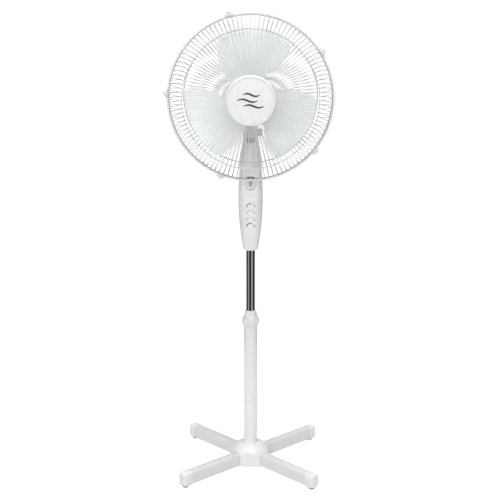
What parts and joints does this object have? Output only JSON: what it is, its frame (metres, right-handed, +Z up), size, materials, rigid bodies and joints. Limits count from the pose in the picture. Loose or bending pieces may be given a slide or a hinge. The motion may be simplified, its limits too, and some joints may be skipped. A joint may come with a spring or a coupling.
{
  "type": "pedestal fan",
  "caption": "Pedestal fan with a round wire guard, clear pale blue blades, a push-button control column, a telescopic chrome pole and a cross-shaped base.",
  "frame": {"origin": "on the floor, on the axis of the pole, midway between the feet", "axes": "+Z up along the pole; the fan blows towards -Y, which is the front; +X is to the right seen from the front"},
  "size_m": [0.4366, 0.3864, 1.2538],
  "materials": {
    "white_plastic": "smooth moulded white ABS",
    "satin_plastic": "satin moulded white ABS",
    "white_paint": "white powder coat on steel",
    "grille_paint": "white powder coat on steel wire",
    "blade_plastic": "clear pale blue plastic",
    "chrome": "bright chrome plating",
    "steel": "bright zinc-plated steel",
    "cast_aluminium": "die-cast aluminium",
    "winding": "enamelled copper wire",
    "inner_plastic": "grey moulded plastic",
    "rubber": "soft black rubber"
  },
  "bodies": {
    "base": {"cross_bar_lower": "white_paint", "cross_bar_upper": "white_paint", "end_cap_1": "white_plastic", "end_cap_2": "white_plastic", "end_cap_3": "white_plastic", "end_cap_4": "white_plastic", "foot_1": "rubber", "foot_2": "rubber", "foot_3": "rubber", "foot_4": "rubber", "flange_screw_1": "steel", "flange_screw_2": "steel", "flange_screw_3": "steel", "flange_screw_4": "steel", "base_cover": "white_plastic", "pole_flange": "steel", "outer_pole": "white_paint", "pole_socket": "white_plastic"},
    "lock_nut": {"lock_nut": "white_plastic"},
    "column": {"inner_tube": "chrome", "guide_bush": "white_plastic", "column_front_cover": "satin_plastic", "control_panel": "white_plastic", "column_rear_cover": "satin_plastic", "cable_gland": "rubber", "switch_block": "inner_plastic", "timer_body": "inner_plastic", "tilt_yoke": "satin_plastic"},
    "button_1": {"speed_button_1": "white_plastic"},
    "button_2": {"speed_button_2": "white_plastic"},
    "button_3": {"speed_button_3": "white_plastic"},
    "button_4": {"speed_button_4": "white_plastic"},
    "timer_knob": {"timer_knob": "white_plastic"},
    "tilt_knob": {"tilt_knob": "white_plastic"},
    "neck": {"tilt_neck": "satin_plastic"},
    "head": {"motor_front_bell": "cast_aluminium", "stator_core": "steel", "front_winding": "winding", "rear_winding": "winding", "motor_rear_bell": "cast_aluminium", "front_bearing": "steel", "rear_bearing": "steel", "gearbox": "inner_plastic", "motor_cover": "satin_plastic", "rear_guard": "grille_paint", "front_guard": "grille_paint", "guard_nut": "white_plastic", "front_badge": "white_plastic"},
    "swing_knob": {"swing_knob": "white_plastic"},
    "swing_crank": {"swing_crank": "steel"},
    "swing_link": {"swing_link": "steel"},
    "guard_clip_1": {"guard_clip_1": "white_plastic"},
    "guard_clip_2": {"guard_clip_2": "white_plastic"},
    "guard_clip_3": {"guard_clip_3": "white_plastic"},
    "guard_clip_4": {"guard_clip_4": "white_plastic"},
    "guard_clip_5": {"guard_clip_5": "white_plastic"},
    "impeller": {"motor_shaft": "steel", "rotor": "steel", "fan_blade": "blade_plastic", "spinner_nut": "white_plastic"}
  },
  "joints": [
    {"name": "height_slide", "type": "slide", "parent": "base", "child": "column", "axis": [0, 0, 1], "range_m": [-0.165, 0.1]},
    {"name": "lock_nut_turn", "type": "hinge", "parent": "base", "child": "lock_nut", "pos_m": [0, 0, 0.43], "axis": [0, 0, 1], "range_deg": [0, 180]},
    {"name": "button_1_press", "type": "slide", "parent": "column", "child": "button_1", "axis": [0, 1, 0], "range_m": [0, 0.0025], "stiffness_N_per_m": 300},
    {"name": "button_2_press", "type": "slide", "parent": "column", "child": "button_2", "axis": [0, 1, 0], "range_m": [0, 0.0025], "stiffness_N_per_m": 300},
    {"name": "button_3_press", "type": "slide", "parent": "column", "child": "button_3", "axis": [0, 1, 0], "range_m": [0, 0.0025], "stiffness_N_per_m": 300},
    {"name": "button_4_press", "type": "slide", "parent": "column", "child": "button_4", "axis": [0, 1, 0], "range_m": [0, 0.0025], "stiffness_N_per_m": 300},
    {"name": "timer_turn", "type": "hinge", "parent": "column", "child": "timer_knob", "pos_m": [0, 0, 0.804], "axis": [0, 1, 0], "range_deg": [0, 300]},
    {"name": "tilt_knob_turn", "type": "hinge", "parent": "column", "child": "tilt_knob", "pos_m": [0, 0, 0.936], "axis": [1, 0, 0], "range_deg": [0, 180]},
    {"name": "head_tilt", "type": "hinge", "parent": "column", "child": "neck", "pos_m": [0, 0, 0.936], "axis": [1, 0, 0], "range_deg": [-20, 10]},
    {"name": "head_swing", "type": "hinge", "parent": "neck", "child": "head", "pos_m": [0, 0, 0.964], "axis": [0, 0, 1], "range_deg": [-40, 40]},
    {"name": "swing_knob_pull", "type": "slide", "parent": "head", "child": "swing_knob", "axis": [0, 0, 1], "range_m": [0, 0.008]},
    {"name": "crank_turn", "type": "hinge", "parent": "head", "child": "swing_crank", "pos_m": [0, 0.074, 0.976], "axis": [0, 0, 1], "range_deg": [-90, 90]},
    {"name": "link_turn", "type": "hinge", "parent": "swing_crank", "child": "swing_link", "pos_m": [0.0126, 0.074, 0.9695], "axis": [0, 0, 1], "range_deg": [-90, 90]},
    {"name": "blade_spin", "type": "hinge", "parent": "head", "child": "impeller", "pos_m": [0, -0.1, 1.036], "axis": [0, 1, 0], "continuous": true},
    {"name": "clip_1_open", "type": "hinge", "parent": "head", "child": "guard_clip_1", "pos_m": [0.1816, -0.0995, 1.15258], "axis": [-0.5402, 0, 0.8415], "range_deg": [0, 70]},
    {"name": "clip_2_open", "type": "hinge", "parent": "head", "child": "guard_clip_2", "pos_m": [-0.05476, -0.0995, 1.24474], "axis": [-0.9673, 0, -0.2538], "range_deg": [0, 70]},
    {"name": "clip_3_open", "type": "hinge", "parent": "head", "child": "guard_clip_3", "pos_m": [-0.21544, -0.0995, 1.04842], "axis": [-0.0576, 0, -0.9983], "range_deg": [0, 70]},
    {"name": "clip_4_open", "type": "hinge", "parent": "head", "child": "guard_clip_4", "pos_m": [-0.07839, -0.0995, 0.83494], "axis": [0.9317, 0, -0.3633], "range_deg": [0, 70]},
    {"name": "clip_5_open", "type": "hinge", "parent": "head", "child": "guard_clip_5", "pos_m": [0.16699, -0.0995, 0.89932], "axis": [0.6334, 0, 0.7738], "range_deg": [0, 70]}
  ],
  "couplings": [
    {"joint": "crank_turn", "follows": "head_swing", "ratio": -2.25},
    {"joint": "link_turn", "follows": "head_swing", "ratio": 2.25}
  ]
}
